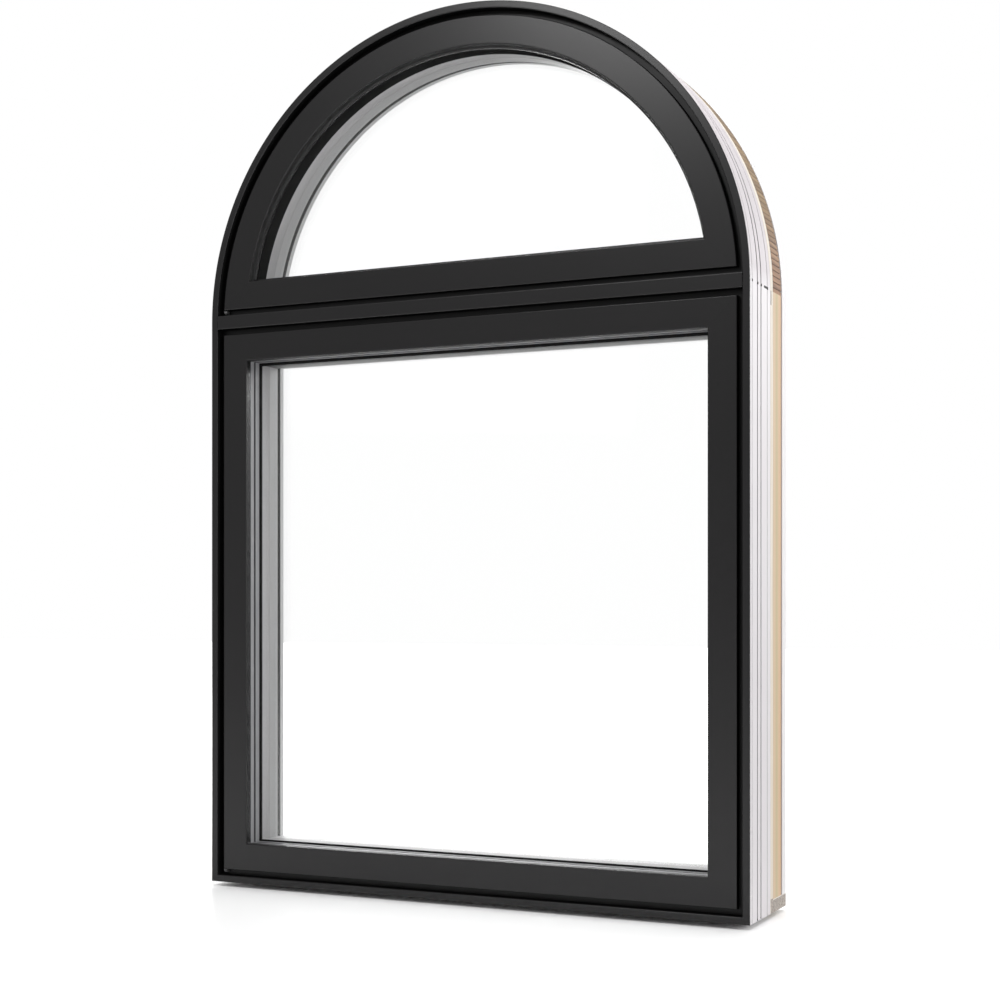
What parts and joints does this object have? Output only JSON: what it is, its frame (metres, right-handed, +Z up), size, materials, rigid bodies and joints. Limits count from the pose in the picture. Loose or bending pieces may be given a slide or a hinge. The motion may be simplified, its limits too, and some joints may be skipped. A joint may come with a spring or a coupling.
{
  "type": "arched picture window",
  "caption": "Fixed picture window with a half-round top unit over a square unit, black outside, white ribbed frame sides and wooden extension jambs.",
  "frame": {"origin": "centre of the underside of the sill, midway through the jamb depth", "axes": "+Z up along the jambs, +X across the width to the right seen from outside, +Y from the weather side to the room side"},
  "size_m": [0.584, 0.116, 0.8759],
  "materials": {
    "black_cap": "satin black",
    "black_sash": "satin black",
    "white_shell": "matt white vinyl",
    "pine": "planed pale pine, unfinished",
    "white_liner": "satin white",
    "grey_bead": "matt mid grey",
    "clear_glass": "clear polished",
    "spacer": "matt light grey",
    "black_rubber": "matt black",
    "board_pine": "planed pine, unfinished",
    "kerfed_board": "brown laminated, sawn",
    "white_edge": "white primer"
  },
  "bodies": {
    "root": {"frame_cap_jambs": "black_cap", "frame_cap_sill": "black_cap", "arch_cap": "black_cap", "mull_cover": "black_cap", "sash_stiles": "black_sash", "sash_rails": "black_sash", "arch_sash": "black_sash", "arch_sash_rail": "black_sash", "frame_shell_jambs": "white_shell", "frame_shell_sill": "white_shell", "frame_shell_head": "white_shell", "arch_shell": "white_shell", "arch_shell_sill": "white_shell", "frame_core_jambs": "pine", "frame_core_sill": "pine", "frame_core_head": "pine", "arch_core": "pine", "arch_core_sill": "pine", "sash_liner_stiles": "white_liner", "sash_liner_rails": "white_liner", "arch_sash_liner": "white_liner", "arch_sash_liner_rail": "white_liner", "room_stop_stiles": "white_liner", "room_stop_rails": "white_liner", "arch_room_stop": "white_liner", "arch_room_stop_rail": "white_liner", "glazing_bead_stiles": "grey_bead", "glazing_bead_rails": "grey_bead", "lower_glass_outer": "clear_glass", "lower_glass_inner": "clear_glass", "arch_glass_outer": "clear_glass", "arch_glass_inner": "clear_glass", "lower_glass_spacer": "spacer", "arch_glass_spacer": "spacer", "lower_glazing_gasket": "black_rubber", "arch_glazing_gasket": "black_rubber", "lower_weatherstrip": "black_rubber", "arch_weatherstrip": "black_rubber", "extension_sill": "board_pine", "extension_jambs": "board_pine", "extension_head": "board_pine", "arch_extension_sill": "board_pine", "arch_extension": "kerfed_board", "edge_strip_jambs": "white_edge", "arch_edge_strip": "white_edge"}
  },
  "joints": []
}
